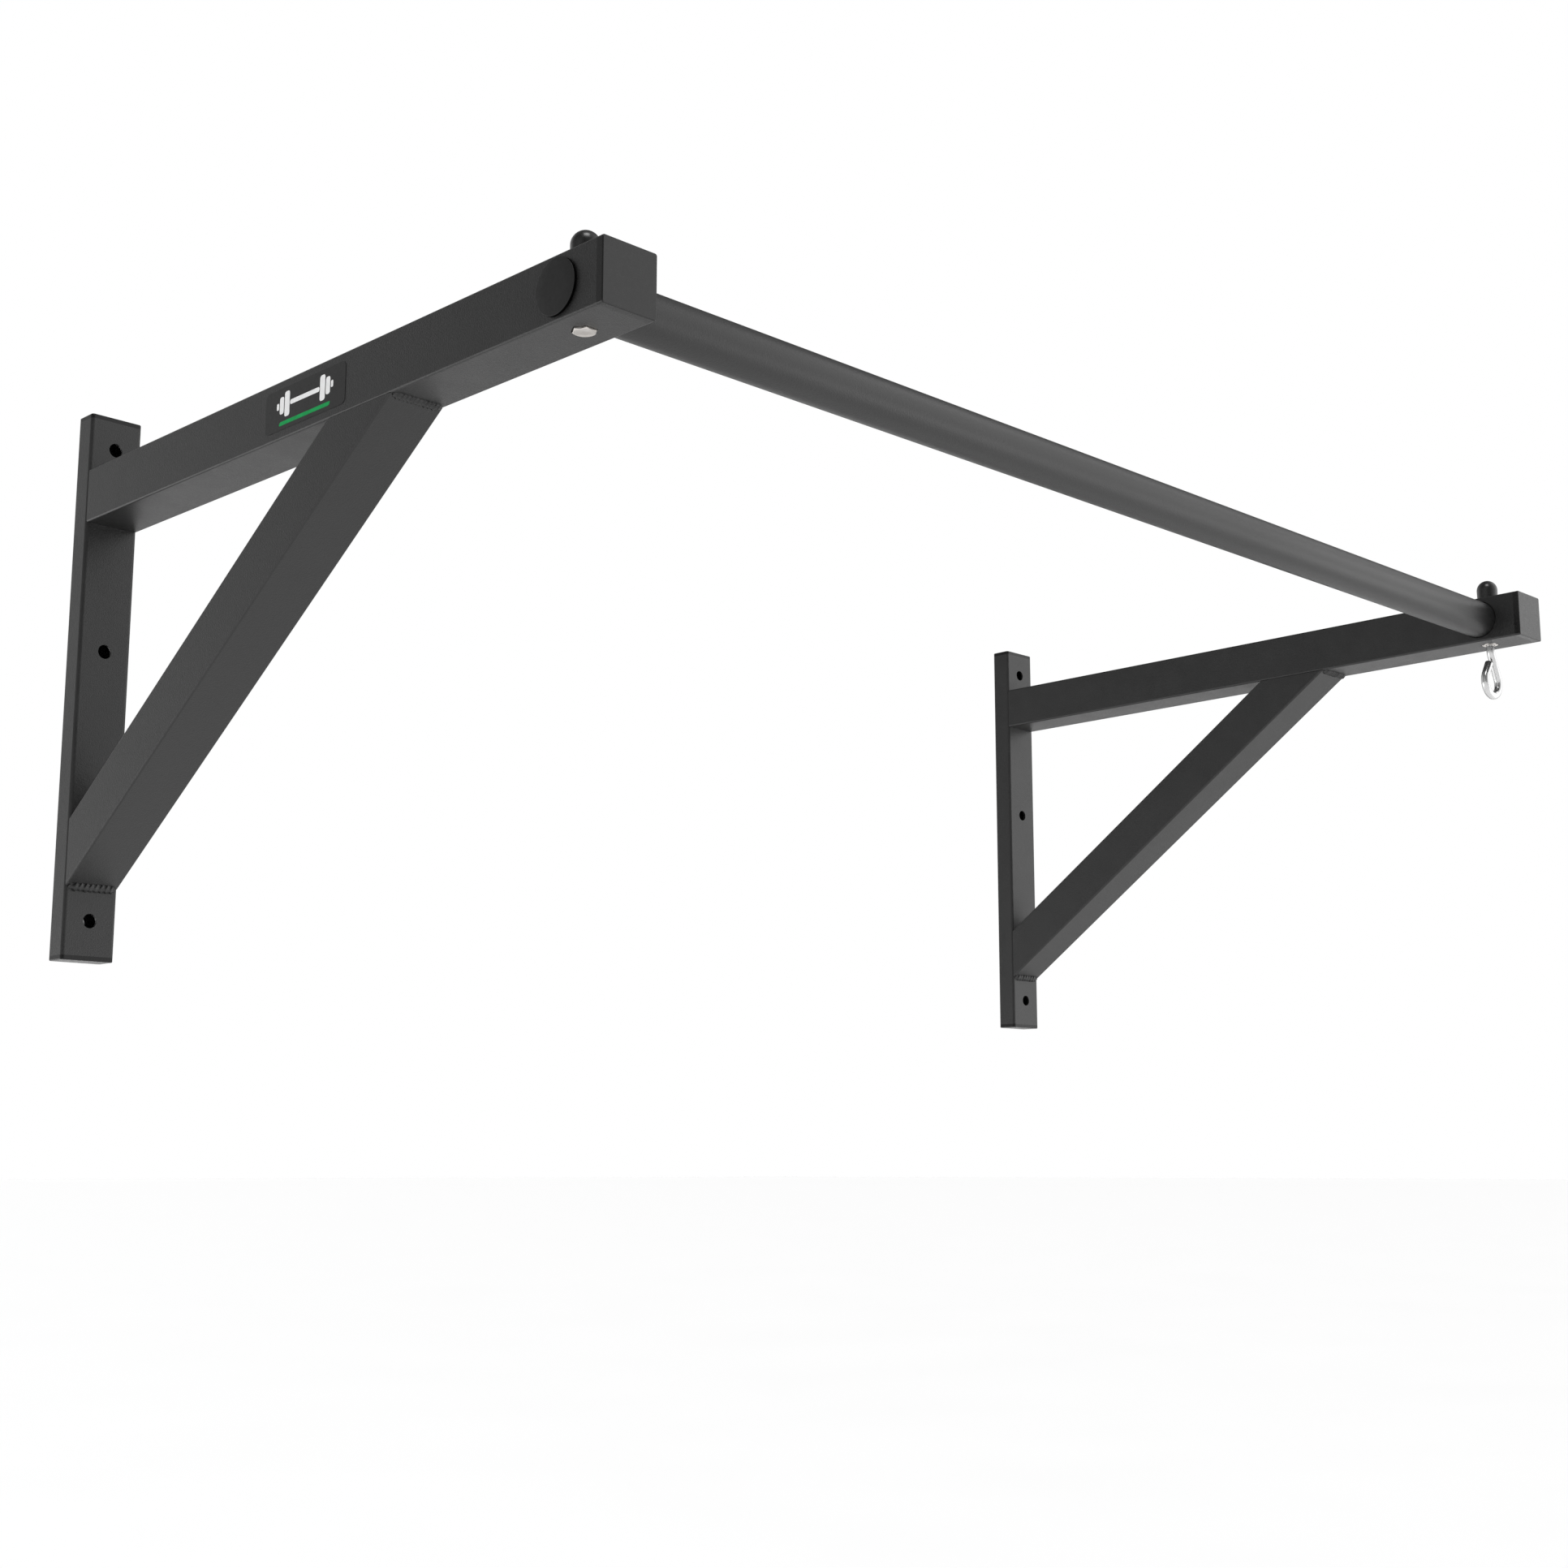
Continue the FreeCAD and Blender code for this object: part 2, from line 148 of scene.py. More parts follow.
# Plug in each end of the bar: radii, and distances out from the arm's face
PLUG_RADIUS = 17.0 * MM
PLUG_EDGE = 0.35 * MM
PLUG_TUBE_OUTER = 13.2 * MM
PLUG_TUBE_INNER = 11.4 * MM
PLUG_RIB_RADIUS = 13.88 * MM
PLUG_RIB = 1.2 * MM
PLUG_RIBS = 3
PLUG_DEPTH = 11.0 * MM

# Weld beads: leg on each face, length and number of ripples. Then the shape of a ripple, as shares
# of its length and of the leg
BRACE_FOOT_BEAD = (3.9 * MM, 36.0 * MM, 9)
BRACE_HEAD_BEAD = (3.9 * MM, 36.0 * MM, 12)
ARM_TOP_BEAD = (2.9 * MM, 14.0 * MM, 5)
RIPPLE_STEPS = 9
WELD_ACROSS = 14
RIPPLE_TRAIL = 0.42
RIPPLE_CREST_SHARE = 0.65
WELD_END_SIZE = 0.45
WELD_END_TAPER = 6.0
WELD_BULGE = 0.72
WELD_BODY = 0.80
TOE_WANDER = 0.06
RIPPLE_RISE = 0.17
RIPPLE_UNEVEN = 0.7
RIPPLE_NOISE_STRIDE = 3.7
TOE_NOISE_SCALE = (300, 1.5)
BEAD_NOISE_SCALE = (9, 50)

# Mark on the name plate, in metres: height above its middle, thickness of the ink, and the shapes
# of the hand weight as width, height, corner radius and place along
MARK_RISE = 2.4 * MM
MARK_INK = 0.04 * MM
MARK_HANDLE = (34.0 * MM, 3.2 * MM, 1.5 * MM, 0.0)
MARK_WEIGHTS = {
    "inner_disc": (5.8 * MM, 17.0 * MM, 1.8 * MM, 20.4 * MM),
    "outer_disc": (4.8 * MM, 11.6 * MM, 1.6 * MM, 26.6 * MM),
    "collar": (2.6 * MM, 4.6 * MM, 1.0 * MM, 31.2 * MM),
}
MARK_STROKE = (58.0 * MM, 2.6 * MM, 1.1 * MM)
MARK_STROKE_DROP = -9.9 * MM
MARK_STROKE_LEAN = 0.5


# ---------------------------------------------------------------------------------- materials


class Shader:
    """A material under construction: node tree, Principled shader and object coordinates."""

    def __init__(self, name):
        self.material = bpy.data.materials.new(name)
        self.material.use_nodes = True
        self.tree = self.material.node_tree
        self.principled = self.tree.nodes["Principled BSDF"]
        self.place = self.node("ShaderNodeTexCoord").outputs["Object"]

    def node(self, kind, **settings):
        node = self.tree.nodes.new(kind)
        for key, value in settings.items():
            setattr(node, key, value)
        return node

    def join(self, source, target):
        self.tree.links.new(source, target)

    def set(self, **values):
        """Constant values on the shader's own sockets, named with underscores."""
        for key, value in values.items():
            self.principled.inputs[key.replace("_", " ")].default_value = value

    def noise(self, scale, detail=2.0, roughness=0.5, stretch=None):
        """Fractal noise from 0 to 1, its cells 1/scale metres across before any stretch."""
        place = self.place
        if stretch:
            mapping = self.node("ShaderNodeMapping")
            mapping.inputs["Scale"].default_value = stretch
            self.join(place, mapping.inputs["Vector"])
            place = mapping.outputs["Vector"]
        texture = self.node("ShaderNodeTexNoise")
        texture.inputs["Scale"].default_value = scale
        texture.inputs["Detail"].default_value = detail
        texture.inputs["Roughness"].default_value = roughness
        self.join(place, texture.inputs["Vector"])
        return texture.outputs["Fac"]

    def spread(self, value, low, high, start=0.3, end=0.7):
        """value from start..end carried over to low..high, and held there outside."""
        mapped = self.node("ShaderNodeMapRange")
        limits = {"From Min": start, "From Max": end, "To Min": low, "To Max": high}
        for key, number in limits.items():
            mapped.inputs[key].default_value = number
        self.join(value, mapped.inputs["Value"])
        return mapped.outputs["Result"]

    def math(self, operation, *values):
        node = self.node("ShaderNodeMath", operation=operation)
        for socket, value in zip(node.inputs, values):
            if isinstance(value, (int, float)):
                socket.default_value = value
            else:
                self.join(value, socket)
        return node.outputs["Value"]

    def blend(self, factor, first, second):
        """Colour between two colours or colour outputs."""
        mix = self.node("ShaderNodeMix", data_type="RGBA")
        self.join(factor, mix.inputs["Factor"])
        for socket, value in ((mix.inputs[MIX_FIRST], first), (mix.inputs[MIX_SECOND], second)):
            if isinstance(value, tuple):
                socket.default_value = (*value, 1.0)
            else:
                self.join(value, socket)
        return mix.outputs[MIX_RESULT]

    def tinted(self, texture, first, second):
        """Colour from first, where the texture is low, to second, where it is high."""
        return self.blend(self.spread(texture, 0.0, 1.0), first, second)

    def edges(self, radius):
        """0 on flat faces, rising to 1 where the surface turns within radius."""
        bevel = self.node("ShaderNodeBevel", samples=6)
        bevel.inputs["Radius"].default_value = radius
        facing = self.node("ShaderNodeVectorMath", operation="DOT_PRODUCT")
        self.join(bevel.outputs["Normal"], facing.inputs[0])
        self.join(self.node("ShaderNodeNewGeometry").outputs["Normal"], facing.inputs[1])
        return self.spread(facing.outputs["Value"], 1.0, 0.0, 0.90, 0.995)

    def bump(self, height, distance, strength=1.0, under=None):
        """Normal of a relief this many metres deep, laid over the normal under it."""
        node = self.node("ShaderNodeBump")
        node.inputs["Distance"].default_value = distance
        node.inputs["Strength"].default_value = strength
        self.join(height, node.inputs["Height"])
        if under:
            self.join(under, node.inputs["Normal"])
        return node.outputs["Normal"]

    def finish(self, colour, roughness, normal):
        self.join(colour, self.principled.inputs["Base Color"])
        self.join(roughness, self.principled.inputs["Roughness"])
        self.join(normal, self.principled.inputs["Normal"])
        return self.material


def grey(value, warm=0.0):
    """A near-neutral colour, warmer for a positive second value."""
    return (value * (1 + warm), value, value * (1 - warm))


def coat_mottle(shader, cloud):
    """Fine specks over the slow clouds of a powder coat."""
    speck = shader.noise(700.0, 2.0, 0.7)
    return shader.math("MULTIPLY_ADD", speck, 0.55, shader.math("MULTIPLY", cloud, 0.45))


def coat_colour(shader, mottle, tone):
    return shader.tinted(mottle, grey(tone * 0.66), grey(tone * 1.34))


def coat_relief(shader, swell):
    """Fine pebbles, and a slower swell of the depth given."""
    pebbles = shader.bump(shader.noise(1000.0, 2.0, 0.6), 0.20 * MM)
    return shader.bump(shader.noise(240.0), swell, 0.5, pebbles)


def powder_coat(name, tone, roughness):
    """Fine-textured powder coat: pebbled surface, mottled tone, thinner along the edges."""
    shader = Shader(name)
    mottle = coat_mottle(shader, shader.noise(38.0, 4.0, 0.6))
    edge = shader.edges(1.6 * MM)
    worn = shader.math("MULTIPLY", edge, shader.spread(shader.noise(160.0, 3.0), 0.0, 0.30))
    colour = shader.blend(worn, coat_colour(shader, mottle, tone), grey(tone * 1.7, 0.02))
    rough = shader.spread(mottle, roughness - 0.05, roughness + 0.07)
    shader.set(Specular_IOR_Level=0.5)
    return shader.finish(colour, rough, coat_relief(shader, 0.12 * MM))


def grip_coat(name, tone, roughness):
    """The bar's powder coat, rubbed a little smoother over the two stretches that hands hold."""
    shader = Shader(name)
    low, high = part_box("pull_up_bar")
    along = shader.node("ShaderNodeSeparateXYZ")
    shader.join(shader.place, along.inputs["Vector"])
    from_middle = shader.math("ABSOLUTE", along.outputs["X"])
    grip_centre = (high.x - low.x) * GRIP_SHARE
    off_grip = shader.math("ABSOLUTE", shader.math("SUBTRACT", from_middle, grip_centre))
    worn = shader.spread(off_grip, 1.0, 0.0, *GRIP_FADE)
    cloud = shader.noise(30.0, 4.0, 0.6, stretch=(0.35, 1.0, 1.0))
    mottle = coat_mottle(shader, cloud)
    polish = shader.math("MULTIPLY", worn, shader.spread(cloud, 0.02, 0.07))
    unworn = shader.spread(mottle, roughness - 0.04, roughness + 0.06)
    rough = shader.math("SUBTRACT", unworn, polish)
    shader.set(Specular_IOR_Level=0.5)
    return shader.finish(coat_colour(shader, mottle, tone), rough, coat_relief(shader, 0.10 * MM))


def moulded_plastic(name, tone, roughness, grain, shine=0.5):
    """Injection-moulded black plastic with a fine eroded grain, and edges painted lighter as a
    painted sheen.
    """
    shader = Shader(name)
    colour = shader.tinted(shader.noise(55.0, 3.0), grey(tone * 0.85), grey(tone * 1.15))
    # Painted sheen: the colour turns lighter along every edge, whatever the light.
    edge = shader.math("MULTIPLY", shader.edges(0.9 * MM), 0.3)
    colour = shader.blend(edge, colour, grey(tone * 1.7))
    rough = shader.spread(shader.noise(300.0, 3.0), roughness - 0.04, roughness + 0.05)
    texture = shader.bump(shader.noise(1500.0, 2.0, 0.6), grain, 0.7)
    shader.set(Specular_IOR_Level=shine)
    return shader.finish(colour, rough, texture)


def zinc_plate(name):
    """Bright zinc on turned and pressed steel: warm grey, faint circular tool marks, and edges
    painted lighter as a painted sheen.
    """
    shader = Shader(name)
    colour = shader.tinted(shader.noise(260.0, 4.0, 0.6), grey(0.58, 0.06), grey(0.65, 0.045))
    # Painted sheen: the colour turns lighter along every edge.
    edge = shader.math("MULTIPLY", shader.edges(0.4 * MM), 0.3)
    colour = shader.blend(edge, colour, grey(0.72, 0.02))
    rough = shader.spread(shader.noise(900.0, 3.0), 0.28, 0.38)
    marks = shader.bump(shader.noise(500.0, 2.0, 0.6, stretch=(1.0, 1.0, 9.0)), 0.02 * MM, 0.4)
    shader.set(Metallic=1.0)
    return shader.finish(colour, rough, marks)


def polished_chrome(name):
    """Polished plating with a breath of haze and hairline scratches."""
    shader = Shader(name)
    haze = shader.noise(180.0, 4.0, 0.6)
    hairs = shader.noise(900.0, 3.0, 0.7, stretch=(1.0, 1.0, 0.25))
    shader.set(Metallic=1.0)
    return shader.finish(
        shader.tinted(haze, grey(0.60), grey(0.68)),
        shader.spread(haze, 0.22, 0.26),
        shader.bump(hairs, 0.004 * MM, 0.5),
    )


def cut_steel(name):
    """Bare sheared steel at the end of the wire."""
    shader = Shader(name)
    grain = shader.noise(1500.0, 4.0, 0.7)
    shader.set(Metallic=1.0)
    return shader.finish(
        shader.tinted(grain, grey(0.26), grey(0.48, 0.02)),
        shader.spread(grain, 0.35, 0.55),
        shader.bump(grain, 0.08 * MM, 0.8),
    )


def printed_film(name, colour_low, colour_high, roughness, shine=0.3):
    """Printed ink under a clear film: almost even, with a faint orange peel."""
    shader = Shader(name)
    shader.set(Specular_IOR_Level=shine)
    return shader.finish(
        shader.tinted(shader.noise(120.0, 3.0), colour_low, colour_high),
        shader.spread(shader.noise(400.0), roughness - 0.03, roughness + 0.05),
        shader.bump(shader.noise(600.0), 0.02 * MM, 0.5),
    )


def studio_floor(name):
    """Plain pale matt floor. The stretch that the arms' undersides mirror sheds less light."""
    shader = Shader(name)
    cloud = shader.noise(0.6, 3.0)
    offset = shader.node("ShaderNodeVectorMath", operation="SUBTRACT")
    offset.inputs[1].default_value = DIM_FLOOR_CENTRE
    shader.join(shader.place, offset.inputs[0])
    reach = shader.node("ShaderNodeVectorMath", operation="LENGTH")
    shader.join(offset.outputs["Vector"], reach.inputs[0])
    far = shader.spread(reach.outputs["Value"], 0.0, 1.0, *DIM_FLOOR_FADE)
    seen = shader.node("ShaderNodeLightPath").outputs["Is Camera Ray"]
    dim = shader.tinted(cloud, *[grey(tone) for tone in DIM_FLOOR_TONES])
    colour = shader.blend(shader.math("MAXIMUM", far, seen), dim, grey(FLOOR_TONE))
    rough = shader.spread(cloud, 0.75, 0.85)
    return shader.finish(colour, rough, shader.bump(shader.noise(40.0), 0.2 * MM, 0.2))


# ------------------------------------------------------------------------------------- meshes


def mesh_piece(name, points, faces, materials, body, slot, crease=35.0):
    """A smooth-shaded mesh that rides on body, its edges left sharp past the crease in degrees."""
    mesh = bpy.data.meshes.new(name)
    mesh.from_pydata([tuple(p) for p in points], [], faces)
    shape = bmesh.new()
    shape.from_mesh(mesh)
    bmesh.ops.remove_doubles(shape, verts=shape.verts, dist=MERGE)
    bmesh.ops.dissolve_degenerate(shape, edges=shape.edges, dist=MERGE)
    bmesh.ops.recalc_face_normals(shape, faces=shape.faces)
    shape.to_mesh(mesh)
    shape.free()
    for material in materials:
        mesh.materials.append(material)
    mesh.shade_smooth()
    mesh.set_sharp_from_angle(angle=math.radians(crease))
    piece = bpy.data.objects.new(name, mesh)
    bpy.context.scene.collection.objects.link(piece)
    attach(piece, body)
    return piece


def capped(points, sides):
    """Points and faces of a shape made of successive closed rings of points, shut at both ends."""
    faces = []
    for start in range(0, len(points) - sides, sides):
        for j in range(sides):
            a = start + j
            b = start + (j + 1) % sides
            faces.append((a, b, b + sides, a + sides))
    faces.append(tuple(range(sides)))
    faces.append(tuple(range(len(points) - sides, len(points))))
    return points, faces


def thread_radius(turn):
    """Radius of the thread at a number of pitches along: flat crest, flank, flat root, flank."""
    from_root = abs(2 * (turn % 1.0) - 1.0)
    ramp = min(1.0, max(0.0, (from_root - THREAD_ROOT_FLAT) / THREAD_FLANKS))
    return THREAD_ROOT + (THREAD_CREST - THREAD_ROOT) * ramp


def threaded_shank(low, high):
    """Points and faces of a threaded rod along Z, chamfered at its upper end.

    Every column of points is shifted along the helix, so that rows follow the thread. Rows past
    either end gather there, and merge.
    """
    sides = BOLT_SIDES
    steps = THREAD_STEPS
    rows = int((high - low) / THREAD_PITCH + 3) * steps
    points = []
    for i in range(rows):
        for j in range(sides):
            turn = j / sides
            z = min(high, max(low, low - THREAD_PITCH + THREAD_PITCH * (i / steps + turn)))
            radius = min(thread_radius(i / steps), THREAD_TIP + (high - z))
            if z == low:
                radius = THREAD_ROOT
            angle = 2 * math.pi * turn
            points.append(Vector((radius * math.cos(angle), radius * math.sin(angle), z)))
    faces = []
    for i in range(rows - 1):
        for j in range(sides - 1):
            a = i * sides + j
            faces.append((a, a + 1, a + 1 + sides, a + sides))
        a = i * sides + sides - 1
        b = min(i + steps, rows - 1) * sides
        c = min(i + 1 + steps, rows - 1) * sides
        faces.append((a, b, c, a + sides))
    faces.append(tuple(range(sides)))
    faces.append(tuple(range((rows - 1) * sides, rows * sides)))
    return points, faces


def hex_radius(angle):
    """Distance from the axis to the side of a hexagon with corners on the X axis."""
    return HEX_FLATS / 2 / math.cos(angle % (math.pi / 3) - math.pi / 6)


def hex_head(top):
    """Points and faces of a bolt head that hangs down from top: chamfered corners, dished face."""
    face = HEX_FLATS / 2 - HEX_FACE_INSET
    low = top - HEX_HEAD
    rings = [[(face * share, low + HEX_DISH)] * HEAD_SIDES for share in HEX_DISH_RINGS]
    rings += [[(face * share, low)] * HEAD_SIDES for share in (HEX_DISH_RIM, 1.0)]
    turned = []
    for j in range(HEAD_SIDES):
        corner = hex_radius(2 * math.pi * j / HEAD_SIDES)
        turned.append((corner, low + (corner - face) * math.tan(HEX_CHAMFER)))
    rings.append(turned)
    rings.append([(radius, top) for radius, _ in turned])
    points = []
    for ring in rings:
        for j, (radius, z) in enumerate(ring):
            angle = 2 * math.pi * j / HEAD_SIDES
            points.append(Vector((radius * math.cos(angle), radius * math.sin(angle), z)))
    return capped(points, HEAD_SIDES)


def joined(*parts):
    """Several lots of points and faces as one."""
    points = []
    faces = []
    for more_points, more_faces in parts:
        start = len(points)
        points += more_points
        faces += [tuple(start + k for k in face) for face in more_faces]
    return points, faces


def moved(part, place):
    points, faces = part
    return [p + place for p in points], faces


def arc_points(centre, radius, start, end, steps):
    """Points on an arc in the XZ plane. Angles are from +Z towards +X."""
    points = []
    for k in range(steps + 1):
        angle = start + (end - start) * k / steps
        points.append(centre + Vector((math.sin(angle), 0, math.cos(angle))) * radius)
    return points


def eye_line():
    """Centre line of the bent wire, from inside the shank to its cut tip."""
    def bearing(point):
        return math.atan2(point.x - RING_CENTRE.x, point.z - RING_CENTRE.z)

    def opening(point):
        return math.acos(RING_RADIUS / (point - RING_CENTRE).length)

    first = bearing(BEND_CORNER) + opening(BEND_CORNER)
    last = 2 * math.pi + bearing(WIRE_TIP) - opening(WIRE_TIP)
    ring = arc_points(RING_CENTRE, RING_RADIUS, first, last, EYE_RING_STEPS)
    leg = (ring[0] - BEND_CORNER).normalized()
    turn = math.acos(-leg.z)
    trim = BEND_RADIUS * math.tan(turn / 2)
    bend_centre = BEND_CORNER + Vector((BEND_RADIUS, 0, trim))
    bend = arc_points(bend_centre, BEND_RADIUS, -math.pi / 2, -math.pi / 2 - turn, EYE_BEND_STEPS)
    shank = [Vector((0, 0, THREAD_LOW + WIRE)), Vector((0, 0, THREAD_LOW))]
    straight = (WIRE_TIP - ring[-1]).length
    cut_leg = [ring[-1].lerp(WIRE_TIP, k / EYE_LEG_STEPS) for k in range(1, EYE_LEG_STEPS)]
    burr = WIRE_TIP - (WIRE_TIP - ring[-1]) * (WIRE_BURR / straight)
    return shank + bend + ring + cut_leg + [burr, WIRE_TIP]


def swept_wire(line):
    """Points and faces of round wire along a line in the XZ plane, nipped in at its last point."""
    points = []
    for k, centre in enumerate(line):
        before = line[max(0, k - 1)]
        after = line[min(len(line) - 1, k + 1)]
        along = (after - before).normalized()
        out = along.cross(Y_AXIS).normalized()
        size = WIRE - WIRE_NIP if k == len(line) - 1 else WIRE
        for j in range(WIRE_SIDES):
            angle = 2 * math.pi * j / WIRE_SIDES
            points.append(centre + (out * math.cos(angle) + Y_AXIS * math.sin(angle)) * size)
    return capped(points, WIRE_SIDES)


def weld_bead(root, first_leg, second_leg, bead):
    """Points and faces of a hand-laid bead along X that fills the corner between two legs.

    Each ripple is a crescent that trails at the toes. No two are quite as high, and the toes wander
    a little, as the torch does. Where the bead is picks its own stretch of the noise.
    """
    leg, length, ripples = bead
    columns = ripples * RIPPLE_STEPS
    span = first_leg.angle(second_leg)
    noise_x = root.x * BEAD_NOISE_SCALE[0]
    noise_z = root.z * BEAD_NOISE_SCALE[1]
    points = []
    for i in range(columns + 1):
        along = i / columns
        x = (along - 0.5) * length
        ends = min(1.0, WELD_END_TAPER * min(along, 1 - along) + WELD_END_SIZE)
        for j in range(WELD_ACROSS + 1):
            share = j / WELD_ACROSS
            bow = 4 * share * (1 - share)
            count, phase = divmod(along * ripples + RIPPLE_TRAIL * bow, 1.0)
            crest = math.sin(math.pi * min(1.0, phase / RIPPLE_CREST_SHARE)) ** 2
            uneven = noise.noise(Vector((count * RIPPLE_NOISE_STRIDE, noise_x, noise_z)))
            height = 1 + RIPPLE_UNEVEN * uneven
            toe_place = (x * TOE_NOISE_SCALE[0], share * TOE_NOISE_SCALE[1], noise_x + noise_z)
            wander = noise.noise(Vector(toe_place))
            flat = math.cos(span / 2) / math.cos((share - 0.5) * span)
            body = (flat + (1 - flat) * WELD_BULGE) * (WELD_BODY + TOE_WANDER * wander)
            radius = min(leg, leg * ends * (body + RIPPLE_RISE * crest * height))
            turned = first_leg * math.sin((1 - share) * span) + second_leg * math.sin(share * span)
            points.append(root + X_AXIS * x + turned * (radius / math.sin(span)))
    row = WELD_ACROSS + 1
    faces = []
    for i in range(columns):
        for j in range(WELD_ACROSS):
            a = i * row + j
            faces.append((a, a + 1, a + 1 + row, a + row))
    spine = len(points)
    points += [root - X_AXIS * length / 2, root + X_AXIS * length / 2]
    faces.append(tuple(range(row)) + (spine,))
    faces.append(tuple(range(columns * row, (columns + 1) * row)) + (spine + 1,))
    faces.append(tuple(i * row for i in range(columns + 1)) + (spine + 1, spine))
    faces.append(tuple(i * row + WELD_ACROSS for i in range(columns + 1)) + (spine + 1, spine))
    return points, faces


# ------------------------------------------------------------------------------------- pieces


def paint(node, material):
    """Gives a CAD node its material."""
    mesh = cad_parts[node].data
    mesh.materials.clear()
    mesh.materials.append(material)


def paint_cad_nodes(coat, grip, arm_caps, wall_caps_shaded_copy, domes, zinc, film):
    for side in SIDES:
        for tube in ("_wall_tube", "_arm_tube", "_brace_tube"):
            paint(side + tube, coat)
        paint(side + "_arm_end_cap", arm_caps)
        # Caps on the uprights take a darker, less shiny copy of the cap plastic: painted shade.
        for cap in ("_wall_top_cap", "_wall_bottom_cap"):
            paint(side + cap, wall_caps_shaded_copy)
        paint(side + "_nut_cap", domes)
        paint(side + "_top_nut", zinc)
    paint("pull_up_bar", grip)
    paint("right_lower_nut", zinc)
    paint("name_plate", film)


def bar_point(side):
    """Where the bar's axis crosses the upright bolt of that side's arm."""
    bar_low, bar_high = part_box("pull_up_bar")
    arm_low, arm_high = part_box(side + "_arm_tube")
    middle = (bar_low + bar_high) / 2
    return Vector(((arm_low.x + arm_high.x) / 2, middle.y, middle.z))


def make_hex_bolt(zinc):
    """The left bolt: pressed hexagon head below, threaded shank up through bar and nut."""
    centre = bar_point("left")
    low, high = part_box("left_hex_bolt")
    head_top = low.z + HEX_HEAD - centre.z
    shape = joined(hex_head(head_top), threaded_shank(head_top - MM, high.z - centre.z))
    bolt = moved(shape, centre)
    piece = mesh_piece("left_hex_bolt_threaded", *bolt, [zinc], FRAME_BODY, "zinc_hardware")
    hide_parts("left_hex_bolt")


def make_eye_bolt(chrome, cut):
    """The right bolt: threaded shank above, bent wire eye with a sheared tip below."""
    centre = bar_point("right")
    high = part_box("right_eye_bolt")[1]
    shape = joined(swept_wire(eye_line()), threaded_shank(THREAD_LOW, high.z - centre.z))
    points, faces = moved(shape, centre)
    name = "right_eye_bolt_bent_wire"
    piece = mesh_piece(name, points, faces, [chrome, cut], EYE_BODY, "eye_chrome")
    tip = centre + WIRE_TIP
    for face in piece.data.polygons:
        if (face.center - tip).length < WIRE_CUT_REACH and len(face.vertices) == WIRE_SIDES:
            face.material_index = 1
    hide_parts("right_eye_bolt")


def plug_profile(thickness):
    """Half section of a bar plug as (radius, distance out), from the middle of its face inwards."""
    profile = [(PLUG_RADIUS / 2, thickness)]
    for k in range(PLUG_EDGE_STEPS + 1):
        angle = k * math.pi / 2 / PLUG_EDGE_STEPS
        radius = PLUG_RADIUS - PLUG_EDGE * (1 - math.sin(angle))
        profile.append((radius, thickness - PLUG_EDGE * (1 - math.cos(angle))))
    profile += [(PLUG_RADIUS, 0.0), (PLUG_TUBE_OUTER, 0.0)]
    for k in range(PLUG_RIBS):
        front = PLUG_RIB / 2 - (k + 0.5) * PLUG_DEPTH / PLUG_RIBS
        back = front - PLUG_RIB
        profile += [(PLUG_TUBE_OUTER, front), (PLUG_RIB_RADIUS, front)]
        profile += [(PLUG_RIB_RADIUS, back), (PLUG_TUBE_OUTER, back)]
    return profile + [
        (PLUG_TUBE_OUTER, -PLUG_DEPTH),
        (PLUG_TUBE_INNER, -PLUG_DEPTH),
        (PLUG_TUBE_INNER, 0.0),
    ]


def make_bar_plug(side, face, wall):
    """Turned plug in one end of the bar: matt face, and a near-black side wall that is painted
    shadow.
    """
    low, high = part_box(side + "_bar_plug")
    sign = -1 if side == "left" else 1
    arm_low, arm_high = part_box(side + "_arm_tube")
    seat = arm_low.x if side == "left" else arm_high.x
    tip = low.x if side == "left" else high.x
    axis = bar_point(side)
    points = []
    for radius, out in plug_profile(abs(tip - seat)):
        for j in range(PLUG_SIDES):
            angle = 2 * math.pi * j / PLUG_SIDES
            y = axis.y + radius * math.cos(angle)
            z = axis.z + radius * math.sin(angle)
            points.append(Vector((seat + sign * out, y, z)))
    shape = capped(points, PLUG_SIDES)
    piece = mesh_piece(side + "_bar_plug_moulded", *shape, [face, wall], FRAME_BODY, "cap_plastic")
    # Faces whose normals turn away from the bar's axis, the side wall among them, get the
    # near-black material: painted shadow.
    for polygon in piece.data.polygons:
        if abs(polygon.normal.x) < 0.5:
            polygon.material_index = 1
    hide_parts(side + "_bar_plug")


def make_welds(side, coat):
    """The three beads of one bracket, in the corners that its tubes make."""
    low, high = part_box(side + "_brace_tube")
    arm_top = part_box(side + "_arm_tube")[1].z
    middle = (low.x + high.x) / 2
    slope = Vector((0, low.y - high.y, high.z - low.z)).normalized()
    corners = {
        "_weld_brace_foot": (Vector((middle, high.y, low.z)), -Z_AXIS, slope, BRACE_FOOT_BEAD),
        "_weld_brace_head": (Vector((middle, low.y, high.z)), -Y_AXIS, -slope, BRACE_HEAD_BEAD),
        "_weld_arm_top": (Vector((middle, high.y, arm_top)), Z_AXIS, -Y_AXIS, ARM_TOP_BEAD),
    }
    for name, corner in corners.items():
        bead = side + name + "_bead"
        shape = weld_bead(*corner)
        piece = mesh_piece(bead, *shape, [coat], FRAME_BODY, "weld_coat", crease=60.0)
        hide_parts(side + name)


def print_on_plate(name, outline, ink):
    """A film of ink on the name plate, its outline in metres along and up the plate."""
    low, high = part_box("name_plate")
    middle = (low + high) / 2
    points = []
    for out in (0.0, MARK_INK):
        for along, up in outline:
            points.append(Vector((low.x - out, middle.y - along, middle.z + up)))
    shape = capped(points, len(outline))
    mesh_piece(name, *shape, [ink], FRAME_BODY, "plate_print")


